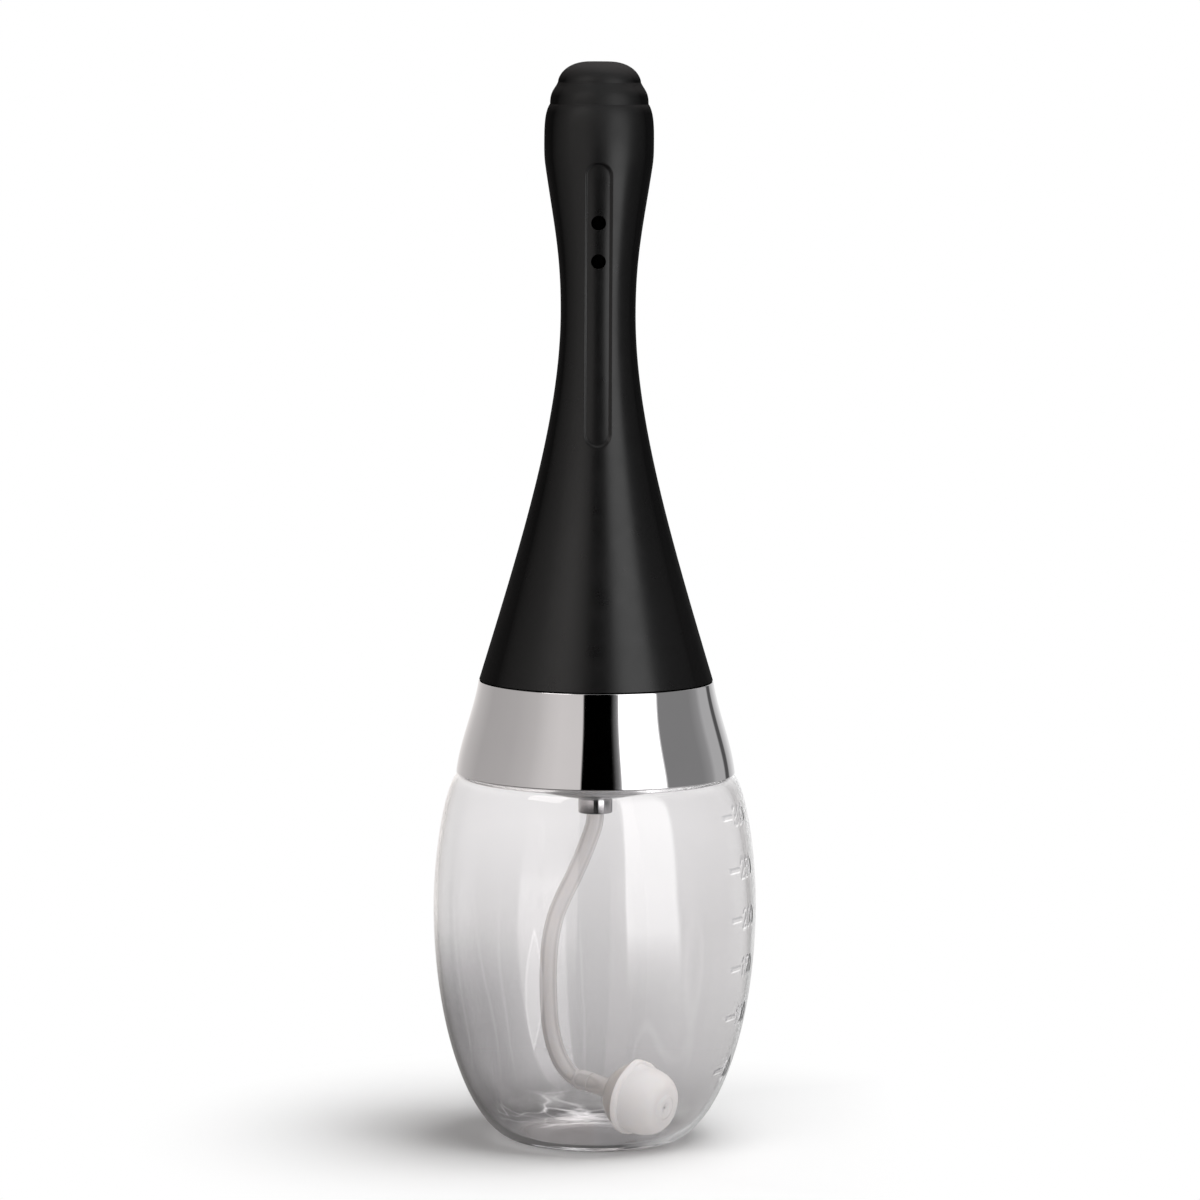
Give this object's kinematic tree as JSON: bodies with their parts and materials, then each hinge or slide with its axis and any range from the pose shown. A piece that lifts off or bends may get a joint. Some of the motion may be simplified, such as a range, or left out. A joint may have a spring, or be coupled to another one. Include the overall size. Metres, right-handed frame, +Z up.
{
  "type": "enema bulb",
  "caption": "Clear squeeze bulb with a screw collar, a long black shower nozzle and a weighted suction hose inside.",
  "frame": {"origin": "centre of the foot ring, on the surface it stands on", "axes": "+Z up along the axis to the nozzle's tip, -Y towards the slotted front, +X to the side with the marks"},
  "size_m": [0.0778, 0.0778, 0.2598],
  "materials": {
    "clear_bulb": "clear flexible plastic, glossy",
    "chrome": "polished mirror",
    "black_sleeve": "soft satin",
    "black_core": "moulded satin",
    "milky_hose": "translucent, smooth",
    "milky_plastic": "translucent, moulded satin",
    "white_plastic": "moulded satin",
    "seal": "smooth",
    "steel": "polished",
    "brass": "turned"
  },
  "bodies": {
    "bulb": {"squeeze_bulb": "clear_bulb"},
    "head": {"neck_gasket": "seal", "dome_cup": "chrome", "nozzle_core": "black_core", "core_o_ring": "seal", "nozzle_sleeve": "black_sleeve", "valve_body": "brass", "valve_cap": "white_plastic", "riser_tube": "white_plastic", "air_valve": "seal", "hose_nut": "chrome", "hose": "milky_hose", "weight_back_shell": "milky_plastic", "weight_front_shell": "milky_plastic", "weight_slug": "steel"},
    "collar": {"collar_shell": "chrome", "collar_sleeve": "black_core"},
    "ball": {"check_ball": "steel"}
  },
  "joints": [
    {"name": "head_lift", "type": "slide", "parent": "bulb", "child": "head", "axis": [0, 0, 1], "range_m": [0, 0.11]},
    {"name": "collar_turn", "type": "hinge", "parent": "head", "child": "collar", "pos_m": [0, 0, 0.1], "axis": [0, 0, 1], "range_deg": [0, 450]},
    {"name": "ball_rise", "type": "slide", "parent": "head", "child": "ball", "axis": [0, 0, 1], "range_m": [0, 0.0015]}
  ]
}
